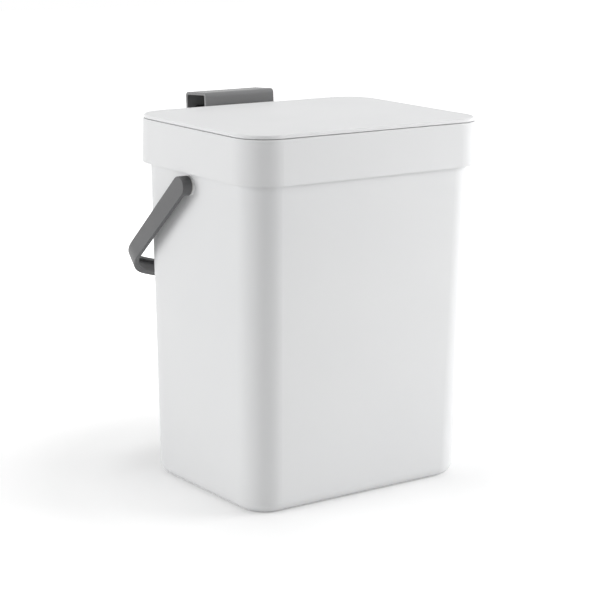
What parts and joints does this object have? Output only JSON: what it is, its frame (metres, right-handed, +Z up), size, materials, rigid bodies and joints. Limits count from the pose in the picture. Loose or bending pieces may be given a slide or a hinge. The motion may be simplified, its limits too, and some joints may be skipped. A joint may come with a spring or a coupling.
{
  "type": "hanging trash can",
  "caption": "Tall tapered rounded-rectangle bin with a deep collar, hinged flat flip lid, swinging grey strap handle and a bent hook plate for hanging it over a door.",
  "frame": {"origin": "middle of the bin's flat base, on the surface it stands on", "axes": "+X along the wide front towards the right, +Y towards the door at the rear, +Z up"},
  "size_m": [0.208, 0.1924, 0.2678],
  "materials": {
    "bin_plastic": "satin",
    "frame_plastic": "satin",
    "lid_plastic": "satin",
    "steel_pin": "drawn",
    "bumper_rubber": "matt",
    "handle_plastic": "fine grain",
    "pivot_plastic": "fine grain",
    "washer_plastic": "matt",
    "hook_metal": "satin paint",
    "pad_foam": "matt foam"
  },
  "bodies": {
    "bin": {"bin_body": "bin_plastic", "pivot_washer_left": "washer_plastic", "pivot_washer_right": "washer_plastic"},
    "frame": {"lid_frame": "frame_plastic", "hinge_pin_left": "steel_pin", "hinge_pin_right": "steel_pin", "lid_bumper_1": "bumper_rubber", "lid_bumper_2": "bumper_rubber", "lid_bumper_3": "bumper_rubber", "lid_bumper_4": "bumper_rubber"},
    "lid": {"flip_lid": "lid_plastic"},
    "bail": {"handle": "handle_plastic", "pivot_pin_left": "pivot_plastic", "pivot_pin_right": "pivot_plastic"},
    "hook": {"door_hook": "hook_metal", "hook_pad_front": "pad_foam", "hook_pad_rear": "pad_foam"}
  },
  "joints": [
    {"name": "frame_lift", "type": "slide", "parent": "bin", "child": "frame", "axis": [0, 0, 1], "range_m": [0, 0.06]},
    {"name": "lid_hinge", "type": "hinge", "parent": "frame", "child": "lid", "pos_m": [0, 0.0766, 0.25735], "axis": [-1, 0, 0], "range_deg": [0, 110]},
    {"name": "handle_swing", "type": "hinge", "parent": "bin", "child": "bail", "pos_m": [0, 0.007, 0.2172], "axis": [1, 0, 0], "range_deg": [-6, 257]},
    {"name": "hook_release", "type": "slide", "parent": "bin", "child": "hook", "axis": [0, -0.0698, -0.9976], "range_m": [0, 0.03]}
  ]
}
